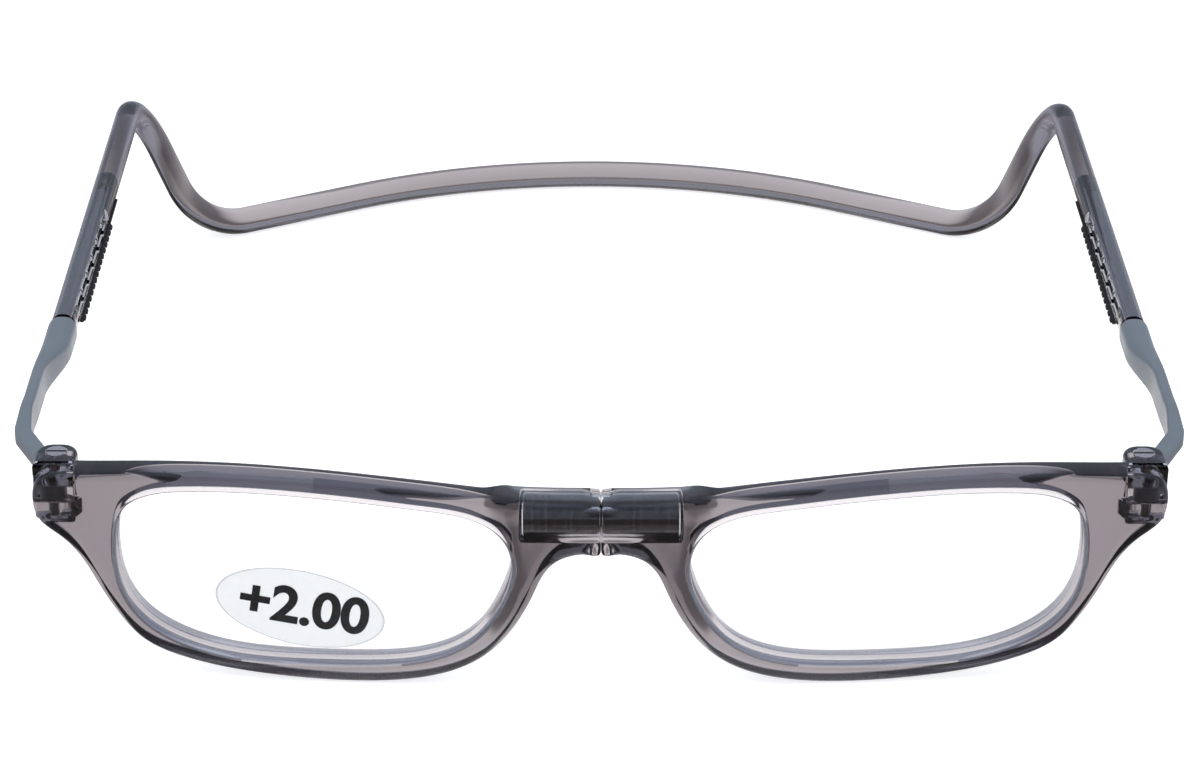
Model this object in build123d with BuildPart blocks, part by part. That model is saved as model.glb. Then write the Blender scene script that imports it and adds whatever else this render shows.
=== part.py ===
"""Magnetic bridge reading glasses: two front halves on arms that slide in a wrap-round headband.

Millimetres, +Z up, +X to the wearer's left. The bridge faces -Y.
The origin is under the middle of the bounding box.
"""

import os
from math import asin, atan2, cos, hypot, sin

from build123d import *

os.makedirs("parts", exist_ok=True)

# Overall sizes
overall_depth = 158.0
front_half = 69.85
rim_height = 28.8
rim_thickness = 4.0
wrap = 4.0
end_thickening = 0.9
bridge_gap = 0.16

# Rim and lens
rim_round = 0.7
groove_depth = 0.7
lens_thickness = 1.5
lens_clearance = 0.08
lens_lip = 0.9

# Bridge and magnets
bridge_wall = 0.68
bridge_skin = 0.45
bridge_end_wall = 1.24
bridge_flare = 7.0
sleeve_wall = 0.3
magnet_clearance = 0.05
magnet_setback = 0.15
magnet_lift = 0.17
magnet_chamfer = 0.3

# Hinge
hinge_inset = 2.7
hinge_behind = 9.1
hinge_below_top = 4.55
block_width = 5.2
block_reach = 2.25
block_height = 7.8
block_lift = 0.25
hinge_gap = 2.35
web_clearance = 0.25
screw_radius = 0.7
screw_head_radius = 1.3
screw_head_height = 0.8
screw_slot = 0.4
screw_clearance = 0.05
screw_floor = 0.4
block_flat = 0.5
quarter_turn = 90

# Arm
eye_radius = 1.7
hook_height = 2.05
hook_width = 2.2
elbow_behind = 20.8
blade_thickness = 1.6
elbow_length = 5.0
shoulder_length = 9.0
shoulder_ahead = 6.5
arm_round = 0.35
elbow_bulge = 0.5
mouth_gap = 0.3
tongue_width = 1.6
tongue_height = 2.5
tongue_length = 43.0
tongue_clearance = 0.15
pin_radius = 0.4
pin_fit = 0.01
pin_sink = 0.15

# Headband
tube_width = 3.8
tube_height = 4.2
tube_flat = 0.1
tube_outset = 2.3
mouth_behind = 52.0
bore_spare = 5.5
ear_lead = 1.1
ear_radius = 9.2
drop_inset = 9.35
drop_radius = 11.0
band_radius = 83.0
band_straight = 26.97
band_split_gap = 0.1
foot_flat = 0.06

# Ratchet
notch_count = 6
notch_pitch = 5.5
notch_length = 4.3
notch_height = 1.9
slot_height = 1.0
slot_clearance = 0.35
slot_rise = 0.55
notch_sink = 0.35
first_notch_inside = 33.7
strip_height = 0.4
strip_width = 0.5
strip_sink = 0.3
strip_clearance = 0.05
strip_drop = 0.95
strip_tail = 9.0
strip_tail_height = 0.3
tooth_count = 16
tooth_size = 0.22
tooth_share = 0.5

# Power label on the wearer's right lens
label_length = 21.3
label_height = 10.6
label_thickness = 0.12
label_outward = 1.8
label_below = 4.3
label_tilt = 11.6
label_gap = 0.02

overrun = 5.0
facing_share = 0.5
to_start = (Align.CENTER, Align.CENTER, Align.MIN)
along_y = (Align.CENTER, Align.MIN, Align.CENTER)
inward_from_start = (Align.MIN, Align.MIN, Align.CENTER)

# Rim outline as shares of front_half and rim_height, along the top and back along the bottom
top_shares = [
    (0.0, 0.896), (0.14, 0.903), (0.25, 0.930), (0.42, 0.972), (0.62, 1.0), (0.78, 0.994), (0.92, 0.972),
    (0.975, 0.966),
]
end_shares = [(0.975, 0.966), (1.0, 0.93), (1.0, 0.765), (0.993, 0.718)]
bottom_shares = [
    (0.993, 0.718), (0.957, 0.675), (0.917, 0.56), (0.888, 0.42), (0.857, 0.29), (0.82, 0.18), (0.745, 0.09),
    (0.622, 0.028), (0.465, 0.0), (0.322, 0.022), (0.236, 0.091), (0.181, 0.195), (0.143, 0.325), (0.117, 0.457),
    (0.098, 0.556), (0.074, 0.615), (0.04, 0.644), (0.0, 0.651),
]
opening_shares = [
    (0.854, 0.60), (0.85, 0.72), (0.836, 0.82), (0.80, 0.88), (0.72, 0.914), (0.63, 0.919), (0.52, 0.907),
    (0.42, 0.886), (0.32, 0.858), (0.235, 0.821), (0.186, 0.755), (0.160, 0.645), (0.161, 0.51), (0.19, 0.345),
    (0.24, 0.205), (0.32, 0.12), (0.425, 0.092), (0.53, 0.09), (0.66, 0.112), (0.75, 0.178), (0.80, 0.255),
    (0.835, 0.365),
]

front_y = -overall_depth / 2
wrap_radius = (front_half**2 + wrap**2) / (2 * wrap)
rear_wrap = wrap + end_thickening
rear_wrap_radius = (front_half**2 + rear_wrap**2) / (2 * rear_wrap)
hinge_x = front_half - hinge_inset
hinge_y = front_y + hinge_behind
hinge_height = rim_height - hinge_below_top
tube_x = front_half + tube_outset
mouth_y = front_y + mouth_behind
tube_inner_x = tube_x - tube_width / 2
tube_outer_x = tube_x + tube_width / 2
travel = (notch_count - 1) * notch_pitch


def outline(shares):
    """Points of the front outline in the XZ plane, from shares of its half width and height."""
    return [(across * front_half, up * rim_height) for across, up in shares]


# Middle and size of the lens opening
opening_left = min(x for x, z in outline(opening_shares))
opening_right = max(x for x, z in outline(opening_shares))
opening_low = min(z for x, z in outline(opening_shares))
opening_high = max(z for x, z in outline(opening_shares))
opening_x = (opening_left + opening_right) / 2
opening_z = (opening_low + opening_high) / 2


def opening(grown):
    """Points of the lens opening, pushed outward from its middle by grown."""
    wider = 1 + 2 * grown / (opening_right - opening_left)
    taller = 1 + 2 * grown / (opening_high - opening_low)
    points = outline(opening_shares)
    return [(opening_x + (x - opening_x) * wider, opening_z + (z - opening_z) * taller) for x, z in points]


def shell(inset, thickness):
    """A plan sketch of the curved sheet that lies inset behind the front face, as thick as thickness."""
    near, far = wrap_radius - inset, wrap_radius - inset - thickness
    with BuildSketch() as plan:
        with Locations((0, front_y + wrap_radius)):
            Circle(near)
            Circle(far, mode=Mode.SUBTRACT)
        with Locations((front_half / 2, front_y + wrap)):
            Rectangle(front_half + overrun, wrap_radius / 2, mode=Mode.INTERSECT)
    return plan.sketch


def export(solid, name):
    solid.label = name
    export_step(solid, f"parts/{name}.step")


def export_pair(piece, name):
    """The wearer's left piece and its mirror image for the right."""
    with BuildPart() as other:
        mirror(piece.part, about=Plane.YZ)
    export(piece.part, f"{name}_left")
    export(other.part, f"{name}_right")


# Profiles of the front, seen from before it
with BuildSketch(Plane.XZ) as rim_face:
    with BuildLine():
        Spline(*outline(top_shares))
        Polyline(*outline(end_shares))
        Spline(*outline(bottom_shares))
        Line(outline(bottom_shares)[-1], outline(top_shares)[0])
    make_face()

with BuildSketch(Plane.XZ) as opening_face:
    with BuildLine():
        Spline(*opening(0), periodic=True)
    make_face()

with BuildSketch(Plane.XZ) as groove_face:
    with BuildLine():
        Spline(*opening(groove_depth), periodic=True)
    make_face()

with BuildSketch(Plane.XZ) as lens_face:
    with BuildLine():
        Spline(*opening(groove_depth - lens_clearance), periodic=True)
    make_face()

# Bridge and magnet pocket, from the space between the mating face and the lens opening
bridge_top = outline(top_shares)[0][1]
bridge_bottom = outline(bottom_shares)[-1][1]
pocket_radius = (bridge_top - bridge_bottom) / 2 - bridge_wall
magnet_radius = pocket_radius - sleeve_wall - 2 * magnet_clearance
pocket_length = opening_left - bridge_end_wall - bridge_gap / 2
magnet_length = pocket_length - magnet_setback - sleeve_wall - 2 * magnet_clearance
magnet_height = (bridge_top + bridge_bottom) / 2 + magnet_lift
bridge_depth = 2 * (pocket_radius + bridge_skin)
bridge_half_length = bridge_gap / 2 + pocket_length
bridge_axis_y = front_y + bridge_depth / 2

# Plan of the front, seen from above: a curved sheet that deepens at the bridge
front_middle_y = front_y + rim_thickness / 2
flare_start = (bridge_half_length, front_y + bridge_depth)
flare_end = (bridge_half_length + bridge_flare, front_y + rim_thickness)
with BuildSketch() as rim_plan:
    add(shell(0, rim_thickness + rear_wrap))
    with Locations((0, front_y + rim_thickness + rear_wrap_radius)):
        Circle(rear_wrap_radius, mode=Mode.SUBTRACT)
    with BuildLine():
        Polyline((0, front_middle_y), (0, front_y + bridge_depth), flare_start)
        Spline(flare_start, flare_end, tangents=[(1, 0), (1, 0)])
        Polyline(flare_end, (flare_end[0], front_middle_y), (0, front_middle_y))
    make_face()
    with Locations((bridge_gap / 2, 0)):
        Rectangle(front_half + overrun, overall_depth, align=(Align.MIN, Align.CENTER), mode=Mode.INTERSECT)

# The groove that holds the lens edge
with BuildPart() as groove:
    extrude(shell(lens_lip - lens_clearance, lens_thickness + 2 * lens_clearance), rim_height)
    extrude(groove_face.sketch, overall_depth / 2, mode=Mode.INTERSECT)

# Hinge block seen from above: square where it joins the rim, round at the back
block_inner_x = hinge_x - block_width / 2
block_back_y = hinge_y + block_reach
block_bottom = hinge_height + block_lift - block_height / 2
block_front_y = front_middle_y + wrap * (hinge_x / front_half) ** 2
with BuildSketch(Plane.XY.offset(block_bottom)) as block_plan:
    with Locations((hinge_x, block_front_y)):
        Rectangle(block_width, block_back_y - block_front_y, align=(Align.CENTER, Align.MIN))
    fillet(block_plan.vertices().group_by(Axis.Y)[-1], block_width / 2 - block_flat)

# Front half: rim, half of the bridge and the two hinge ears, moulded in one
ear_top = block_bottom + block_height
with BuildPart() as rim:
    extrude(rim_plan.sketch, rim_height)
    extrude(rim_face.sketch, overall_depth / 2, mode=Mode.INTERSECT)
    extrude(opening_face.sketch, overall_depth / 2, mode=Mode.SUBTRACT)
    front_face = rim.faces().filter_by(lambda face: face.normal_at().Y < -facing_share).sort_by(SortBy.AREA)[-1]
    fillet(front_face.outer_wire().edges(), rim_round)
    add(groove.part, mode=Mode.SUBTRACT)
    extrude(block_plan.sketch, block_height)
    with BuildSketch(Plane.XY.offset(hinge_height - hinge_gap / 2)):
        with Locations((hinge_x, hinge_y - eye_radius - web_clearance)):
            gap_reach = block_reach + eye_radius + overrun
            Rectangle(block_width + overrun, gap_reach, align=(Align.CENTER, Align.MIN))
    extrude(amount=hinge_gap, mode=Mode.SUBTRACT)
    with Locations(Location((bridge_gap / 2, bridge_axis_y, magnet_height), (0, quarter_turn, 0))):
        Cylinder(pocket_radius, pocket_length, align=to_start, mode=Mode.SUBTRACT)
    with Locations((hinge_x, hinge_y, block_bottom + screw_floor)):
        Cylinder(screw_radius + screw_clearance, block_height, align=to_start, mode=Mode.SUBTRACT)
    with Locations((hinge_x, hinge_y, ear_top - screw_head_height - screw_clearance)):
        Cylinder(screw_head_radius + screw_clearance, overrun, align=to_start, mode=Mode.SUBTRACT)
export_pair(rim, "rim")

# Lens
with BuildPart() as lens:
    extrude(shell(lens_lip, lens_thickness), rim_height)
    extrude(lens_face.sketch, overall_depth / 2, mode=Mode.INTERSECT)
export_pair(lens, "lens")

# Magnet and the thin cup that carries it in the bridge pocket
magnet_start_x = bridge_gap / 2 + magnet_setback
with BuildPart() as magnet:
    with Locations(Location((magnet_start_x, bridge_axis_y, magnet_height), (0, quarter_turn, 0))):
        Cylinder(magnet_radius, magnet_length, align=to_start)
    chamfer(magnet.edges().filter_by(GeomType.CIRCLE), magnet_chamfer)
export_pair(magnet, "magnet")

cup_radius = magnet_radius + magnet_clearance + sleeve_wall
cup_length = magnet_length + magnet_clearance + sleeve_wall
with BuildPart() as magnet_cup:
    with Locations(Location((magnet_start_x, bridge_axis_y, magnet_height), (0, quarter_turn, 0))):
        Cylinder(cup_radius, cup_length, align=to_start)
        Cylinder(magnet_radius + magnet_clearance, cup_length - sleeve_wall, align=to_start, mode=Mode.SUBTRACT)
export_pair(magnet_cup, "magnet_cup")

# Hinge screw with its slotted head
screw_bottom = block_bottom + screw_floor + screw_clearance
head_bottom = ear_top - screw_head_height
with BuildPart() as hinge_screw:
    with Locations((hinge_x, hinge_y, screw_bottom)):
        Cylinder(screw_radius, head_bottom - screw_bottom, align=to_start)
    with Locations((hinge_x, hinge_y, head_bottom)):
        Cylinder(screw_head_radius, screw_head_height, align=to_start)
    with Locations((hinge_x, hinge_y, ear_top - screw_slot)):
        Box(2 * screw_head_radius, screw_slot, screw_slot, align=to_start, mode=Mode.SUBTRACT)
export_pair(hinge_screw, "hinge_screw")

# Front arm: hinge eye, hook, elbow, thin blade, shoulder and the tongue that slides in the tube
elbow_y = front_y + elbow_behind
blade_y = elbow_y + elbow_length
shoulder_full_y = mouth_y - shoulder_ahead
shoulder_start_y = shoulder_full_y - shoulder_length
shoulder_end_y = mouth_y - mouth_gap
blade_inner_x = tube_outer_x - blade_thickness
hook_angle = atan2(tube_outer_x - hook_width / 2 - hinge_x, elbow_y - hinge_y)
side_x, side_y = hook_width / 2 * cos(hook_angle), hook_width / 2 * sin(hook_angle)
with BuildSketch(Plane.XY) as arm_plan:
    with BuildLine():
        elbow_outer = (tube_outer_x + elbow_bulge, elbow_y)
        elbow_inner = (tube_outer_x - hook_width, elbow_y + hook_width / 2)
        hook_outer = (hinge_x + side_x, hinge_y - side_y)
        hook_inner = (hinge_x - side_x, hinge_y + side_y)
        Polyline(hook_inner, hook_outer, elbow_outer, (tube_outer_x, blade_y), (tube_outer_x, shoulder_end_y))
        Line((tube_outer_x, shoulder_end_y), (tube_inner_x, shoulder_end_y))
        Line((tube_inner_x, shoulder_end_y), (tube_inner_x, shoulder_full_y))
        Spline((tube_inner_x, shoulder_full_y), (blade_inner_x, shoulder_start_y), tangents=[(0, -1), (0, -1)])
        Polyline((blade_inner_x, shoulder_start_y), (blade_inner_x, blade_y), elbow_inner, hook_inner)
    make_face()

with BuildSketch(Plane.YZ) as arm_side:
    with BuildLine():
        hook_low, hook_high = hinge_height - hook_height / 2, hinge_height + hook_height / 2
        tube_low, tube_high = hinge_height - tube_height / 2, hinge_height + tube_height / 2
        Polyline((elbow_y, hook_low), (front_y, hook_low), (front_y, hook_high), (elbow_y, hook_high))
        Polyline((elbow_y, hook_high), (blade_y, tube_high), (shoulder_end_y, tube_high))
        Line((shoulder_end_y, tube_high), (shoulder_end_y, tube_low))
        Polyline((shoulder_end_y, tube_low), (blade_y, tube_low), (elbow_y, hook_low))
    make_face()

tongue_y = mouth_y + tongue_length
pin_y = mouth_y + first_notch_inside
with BuildPart() as front_arm:
    extrude(arm_plan.sketch, overall_depth)
    extrude(arm_side.sketch, overall_depth, mode=Mode.INTERSECT)
    fillet(front_arm.edges().filter_by(lambda edge: blade_y < edge.center().Y < shoulder_end_y), arm_round)
    with Locations((hinge_x, hinge_y, hinge_height)):
        Cylinder(eye_radius, hook_height)
        Cylinder(screw_radius + screw_clearance, hook_height, mode=Mode.SUBTRACT)
    with Locations((tube_x, shoulder_end_y, hinge_height)):
        Box(tongue_width, tongue_y - shoulder_end_y, tongue_height, align=along_y)
    with Locations(Location((tube_x, pin_y, hinge_height + slot_rise), (0, quarter_turn, 0))):
        Cylinder(pin_radius + pin_fit, tongue_width + 2 * overrun, mode=Mode.SUBTRACT)
export_pair(front_arm, "front_arm")

# Detent pin pressed through the tongue; its head steps from notch to notch
with BuildPart() as detent_pin:
    pin_start_x = tube_inner_x + pin_sink
    with Locations(Location((pin_start_x, pin_y, hinge_height + slot_rise), (0, quarter_turn, 0))):
        Cylinder(pin_radius, tube_x + tongue_width / 2 - pin_start_x, align=to_start)
export_pair(detent_pin, "detent_pin")

# Headband half: tube for the arm, ear bend, drop and half of the band, as one bent bar
band_middle_y = overall_depth / 2 - tube_height / 2
band_height = tube_width / 2 - foot_flat
band_centre_y = band_middle_y - band_radius
drop_x = tube_x - drop_inset
band_angle = asin(drop_x / hypot(band_radius, band_straight)) - atan2(band_straight, band_radius)
drop_y = band_centre_y + band_radius * cos(band_angle) - band_straight * sin(band_angle)
ear_corner = (tube_x, drop_y + ear_lead, hinge_height)
drop_corner = (drop_x, drop_y, band_height)
split_angle = band_split_gap / 2 / band_radius
band_start, band_mid, band_end = [
    (band_radius * sin(angle), band_centre_y + band_radius * cos(angle), band_height)
    for angle in (band_angle, band_angle / 2, split_angle)
]
with BuildLine() as band_path:
    corners = [(tube_x, mouth_y, hinge_height), ear_corner, drop_corner, band_start]
    FilletPolyline(*corners, radius=[ear_radius, drop_radius])
    ThreePointArc(band_start, band_mid, band_end)

tube_mouth = Plane((tube_x, mouth_y, hinge_height), x_dir=(-1, 0, 0), z_dir=(0, 1, 0))
bore_width, bore_height = tongue_width + 2 * tongue_clearance, tongue_height + 2 * tongue_clearance
notch_centres = [pin_y - number * notch_pitch for number in range(notch_count)]
notch_middle_y = (notch_centres[0] + notch_centres[-1]) / 2
strip_start_y = notch_centres[-1] - notch_length / 2
tube_round = min(tube_width, tube_height) / 2 - tube_flat
with BuildPart() as headband:
    with BuildSketch(tube_mouth):
        RectangleRounded(tube_width, tube_height, tube_round)
    sweep(path=band_path.line)
    with Locations((tube_x, mouth_y, hinge_height)):
        Box(bore_width, tongue_length + bore_spare, bore_height, align=along_y, mode=Mode.SUBTRACT)
    with Locations((tube_inner_x, notch_middle_y, hinge_height + slot_rise)):
        slot_length = travel + 2 * (pin_radius + slot_clearance)
        Box(2 * (tube_width - bore_width), slot_length, slot_height, mode=Mode.SUBTRACT)
    with Locations(*[(tube_inner_x, y, hinge_height + slot_rise) for y in notch_centres]):
        Box(2 * notch_sink, notch_length, notch_height, mode=Mode.SUBTRACT)
    with Locations((tube_inner_x - overrun, strip_start_y, hinge_height - strip_drop)):
        seat_length = travel + notch_length + strip_tail
        seat_depth = overrun + strip_sink + strip_clearance
        seat_height = strip_height + 2 * strip_clearance
        Box(seat_depth, seat_length, seat_height, align=inward_from_start, mode=Mode.SUBTRACT)
    below_foot = (Align.CENTER, Align.CENTER, Align.MAX)
    Box(2 * overall_depth, 2 * overall_depth, overrun, align=below_foot, mode=Mode.SUBTRACT)
export_pair(headband, "headband")

# Black ratchet strip seated along the tube's inner face, toothed along its free edge
strip_y = strip_start_y + strip_clearance
strip_length = travel + notch_length - 2 * strip_clearance
with BuildPart() as ratchet_strip:
    strip_x = tube_inner_x + strip_sink - strip_width
    with Locations((strip_x, strip_y, hinge_height - strip_drop)):
        Box(strip_width, strip_length, strip_height, align=inward_from_start)
    with Locations((tube_inner_x, strip_y, hinge_height - strip_drop)):
        Box(strip_sink, strip_length + strip_tail - strip_clearance, strip_tail_height, align=inward_from_start)
    with Locations((strip_x, strip_y + strip_length / 2, hinge_height - strip_drop)):
        with GridLocations(tooth_size, strip_length / tooth_count, 1, tooth_count):
            Box(2 * tooth_size, tooth_share * strip_length / tooth_count, strip_height)
export_pair(ratchet_strip, "ratchet_strip")

# Oval power label on the wearer's right lens
with BuildSketch(Plane.XZ) as label_face:
    with Locations(Location((-label_outward - opening_x, opening_z - label_below), -label_tilt)):
        Ellipse(label_length / 2, label_height / 2)
with BuildSketch() as label_plan:
    mirror(shell(lens_lip - label_gap - label_thickness, label_thickness), about=Plane.YZ)
with BuildPart() as power_label:
    extrude(label_plan.sketch, rim_height)
    extrude(label_face.sketch, overall_depth / 2, mode=Mode.INTERSECT)
export(power_label.part, "power_label")
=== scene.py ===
"""Looks of the magnetic bridge reading glasses: clear smoke plastic, satin arms, a white studio."""

import math

import bmesh
import bpy
import numpy as np
from mathutils import Matrix, Vector
from mathutils.geometry import delaunay_2d_cdt


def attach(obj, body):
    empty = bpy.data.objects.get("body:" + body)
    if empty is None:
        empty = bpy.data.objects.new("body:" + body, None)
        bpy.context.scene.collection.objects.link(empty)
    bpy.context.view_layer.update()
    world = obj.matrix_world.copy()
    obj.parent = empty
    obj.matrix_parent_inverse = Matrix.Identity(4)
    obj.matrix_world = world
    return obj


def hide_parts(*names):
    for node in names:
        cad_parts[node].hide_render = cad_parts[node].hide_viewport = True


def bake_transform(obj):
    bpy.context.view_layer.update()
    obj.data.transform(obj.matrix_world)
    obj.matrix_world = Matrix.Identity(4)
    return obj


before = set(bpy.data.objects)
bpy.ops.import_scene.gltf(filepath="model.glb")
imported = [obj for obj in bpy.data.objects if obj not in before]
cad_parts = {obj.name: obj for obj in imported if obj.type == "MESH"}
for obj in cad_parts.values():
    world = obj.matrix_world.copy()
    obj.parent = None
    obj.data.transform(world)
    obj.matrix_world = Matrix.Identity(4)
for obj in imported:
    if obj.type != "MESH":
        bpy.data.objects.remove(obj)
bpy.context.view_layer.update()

MM = 0.001
MERGE_DISTANCE = 1e-7
FLAT_TOLERANCE = 1e-5
SIDES = {"left": 1, "right": -1}

# Sizes of the front, in millimetres, as the solids have them
OVERALL_DEPTH = 158.0
FRONT_HALF = 69.85
RIM_HEIGHT = 28.8
FRONT_SIZE = np.array([FRONT_HALF, RIM_HEIGHT])
RIM_THICKNESS = 4.0
END_THICKENING = 0.9
WRAP = 4.0
SEAM_HALF = 0.012
BRIDGE_DEPTH = 6.6
BARREL_END = 9.9
BARREL_FLARE = 5.0
BARREL_BACK = 0.78
BARREL_FOOT = (16.5, 19.0)
BARREL_REACH = 3.6
GROOVE_FROM = 0.82
GROOVE_TO = 2.48
GROOVE_DEPTH = 0.72
OUTER_ROUND = 0.95
SEAM_ROUND = 0.13
INNER_ROUND = 0.4
FRONT_Y = -OVERALL_DEPTH / 2
MAGNET_HEIGHT = 22.45
POCKET_RADIUS = 2.86
POCKET_LENGTH = 10.09
POCKET_ROUND = 0.7
OVERRUN = 1.0

# How finely the front is drawn, and from where to where along x its edges change
OUTER_STEPS, INNER_STEPS = 6, 4
SEAM_ZONE = (0.6, 2.6)
END_ZONE = (62.0, 66.0)
BRIDGE_ZONE = (1.0, 3.0)
END_PASSES, BRIDGE_PASSES = 60, 3
OUTLINE_STEP = 0.35
RIM_STEP = 0.3
FACE_GRID = 1.1
FACE_START = (0.8, 0.6)
FACE_CLEARANCE = 0.7
FRONT_SHARP = 38

# Label and its print, in millimetres and degrees
LABEL_AT = (-37.21, 10.23)
LABEL_SIZE = (21.3, 10.6)
LABEL_TILT = 11.6
PRINT_AT = (-36.8, 10.1)
PRINT_TURN = -9.0
PRINT_DEPTH = 0.72
PRINT_SIZE = 7.1
PRINT_BOLDER = 0.2

# Hinge, in millimetres
HINGE_X, HINGE_Y, HINGE_Z = 67.15, FRONT_Y + 9.1, 24.25
BLOCK_WIDTH = 5.2
BLOCK_REACH = 2.25
BLOCK_HEIGHT = 7.8
BLOCK_LIFT = 0.25
BLOCK_ROUND = 2.1
BLOCK_EASE = 0.7
HINGE_GAP = 2.35
GAP_OUTWARD = 1.2
GAP_CLEARANCE = 0.25
GAP_LENGTH = 10.0
GAP_EASE = 0.25
EYE_RADIUS = 1.7
SCREW_RADIUS = 0.78
SCREW_HEAD_RADIUS = 1.36
SCREW_HEAD_SINK = 0.86
SCREW_FLOOR = 0.4

# Arm, in millimetres: the elbow aims at a point ELBOW_RUN behind it, and BLADE_RUN behind it
# the blade is straight
ARM_OUTER_X = 74.05
ELBOW_Y = FRONT_Y + 20.8
MOUTH_Y = FRONT_Y + 52.0
HOOK_WIDTH = 2.2
HOOK_HEIGHT = 2.05
BLADE_WIDTH = 1.6
TONGUE = (1.6, 43.0, 2.5)
TONGUE_ROOT = 1.2
TONGUE_EASE = 0.3
ELBOW_BULGE = 0.25
ELBOW_RUN, BLADE_RUN = 12.0, 8.0
ELBOW_RADIUS = 3.2
MOUTH_GAP = 0.3
ARM_STEP = 0.45
ARM_SHARP = 50
BLADE_ZONE = (ELBOW_Y - 1.0, ELBOW_Y + 6.0)
SHOULDER_ZONE = (MOUTH_Y - 16.5, MOUTH_Y - 6.0)
HOOK_EASE, BLADE_EASE, SHOULDER_EASE = 0.38, 0.12, 1.1
EASE_SPARE = 0.02
DOME_LENGTH, DOME_SHRINK = 0.7, 0.35

# Headband, in millimetres
TUBE_X = 72.15
TUBE_WIDTH = 3.8
TUBE_SLIMMER = 0.1
TUBE_HEIGHT = 4.2
TUBE_EASE = TUBE_WIDTH / 2 - 0.1
EAR_RADIUS = 9.2
EAR_SETBACK = 1.1
DROP_X = 62.8
DROP_RADIUS = 11.0
BAND_RADIUS = 83.0
BAND_CENTRE_Y = OVERALL_DEPTH / 2 - TUBE_HEIGHT / 2 - BAND_RADIUS
BAND_STRAIGHT = 26.97
BAND_Z = 1.84
BAND_STEP = 0.7
SLIM_ZONE = (20.0, 42.0)
BORE = (1.9, 48.5, 2.8)
NOTCH_COUNT = 6
NOTCH_PITCH = 5.5
NOTCH = (1.3, 4.3, 2.3)
SLOT_HEIGHT = 1.0
SLOT_RISE = 0.55
SLOT_DEPTH = 1.3
SLOT_SPARE = 1.5
NOTCH_RISE = 0.95
NOTCH_ROUND = 0.3
FIRST_NOTCH = 33.7
STRIP_DROP = 0.95
STRIP_TAIL = 9.0
SEAT_DEPTH = 0.4
SEAT_HEIGHT = 0.6
BORE_EASE, SLOT_EASE, SEAT_EASE = 0.4, 0.2, 0.1
BAND_SHARP = 45

# Where the mould leaves the plastic matt: how much, and which faces count
WALL_MATT, NOTCH_MATT = 0.5, 1.0
WALL_MARGIN = 0.3
WALL_SLOPE = 0.7
SQUARE_ON = 0.98
FAR_WALL = -0.5
NOTCH_MARGIN = 0.02

# Outlines of the front, in shares of its half width and of its height
TOP_SHARES = [
    (0.0, 0.896), (0.14, 0.903), (0.25, 0.930), (0.42, 0.972), (0.62, 1.0), (0.78, 0.994),
    (0.92, 0.972), (0.975, 0.966),
]
END_SHARES = [(1.0, 0.93), (1.0, 0.765)]
BOTTOM_SHARES = [
    (0.993, 0.718), (0.957, 0.675), (0.917, 0.56), (0.888, 0.42), (0.857, 0.29), (0.82, 0.18),
    (0.745, 0.09), (0.622, 0.028), (0.465, 0.0), (0.322, 0.022), (0.236, 0.091), (0.181, 0.195),
    (0.143, 0.325), (0.117, 0.457), (0.098, 0.556), (0.074, 0.615), (0.04, 0.644), (0.0, 0.651),
]
OPENING_SHARES = [
    (0.854, 0.60), (0.85, 0.72), (0.836, 0.82), (0.80, 0.88), (0.72, 0.914), (0.63, 0.919),
    (0.52, 0.907), (0.42, 0.886), (0.32, 0.858), (0.235, 0.821), (0.186, 0.755), (0.160, 0.645),
    (0.161, 0.51), (0.19, 0.345), (0.24, 0.205), (0.32, 0.12), (0.425, 0.092), (0.53, 0.09),
    (0.66, 0.112), (0.75, 0.178), (0.80, 0.255), (0.835, 0.365),
]

# Materials: tints, absorption, and how far a face is matt or clear
PLASTIC_IOR = 1.49
SMOKE_ABSORB = (0.10, 0.035, 0.07)
SMOKE_DENSITY = 303.0
SMOKE_SHADOW = (0.52, 0.5, 0.52)
MATT_EDGE = (0.62, 0.63, 0.66)
MATT_WALL = (0.37, 0.395, 0.49)
LENS_TINT = (0.985, 0.985, 0.99)
LENS_CLEAR = 0.85
LENS_EDGE = 0.6
CUP_TINT = (0.93, 0.95, 0.98)
CUP_SHADOW = (0.9, 0.92, 0.95)

# Studio: places and floor zones in metres, HIGH_ZONE and BACK_ZONE as a direction's Z and Y
# The floor zones make a painted pool of light and a painted bluish glow on the outer floor behind,
# which only bounced rays see
LIT_FLOOR = (0.084, 0.115)
FAR_FLOOR = (0.115, 0.140)
BACK_FLOOR = (-0.10, -0.02)
FLOOR_DEPTH = 0.0002
FLOOR_HALF = 3.0
FLOOR_GLOW = 0.62
DIM_COLOUR = (0.32, 0.285, 0.29)
FAR_COLOUR = (0.34, 0.40, 0.52)
# Painted shadow of the bridge on the floor that bounced rays see: its middle, its squash along Y,
# where it fades and the light it leaves
BRIDGE_SHADOW_MIDDLE = (0.0, -0.055, 0.0)
BRIDGE_SHADOW_SQUASH = 2.0
BRIDGE_SHADE = (0.0085, 0.0125, 0.25)
BAND_MIDDLE = (0.0, BAND_CENTRE_Y * MM, 0.0)
# The band shades are painted shadows on the floor, under and behind the band
# Per shade: where it starts, is full, is full still and ends, from the band's line, and its light
BAND_SHADES = [(-0.0006, -0.0004, 0.0026, 0.0031, 0.35), (0.0055, 0.0095, 0.013, 0.024, 0.1)]
PLAIN_LIGHT = (0.92, 0.95, 1.0)
PLAIN_STRENGTH = 0.5
HIGH_LIGHT = (0.60, 0.69, 0.86)
HIGH_ZONE = (0.70, 0.94)
BACK_LIGHT = (0.45, 0.49, 0.60)
BACK_ZONE = (-0.6, 0.3)
ROOM_DARK = (0.09, 0.072, 0.072)
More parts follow.
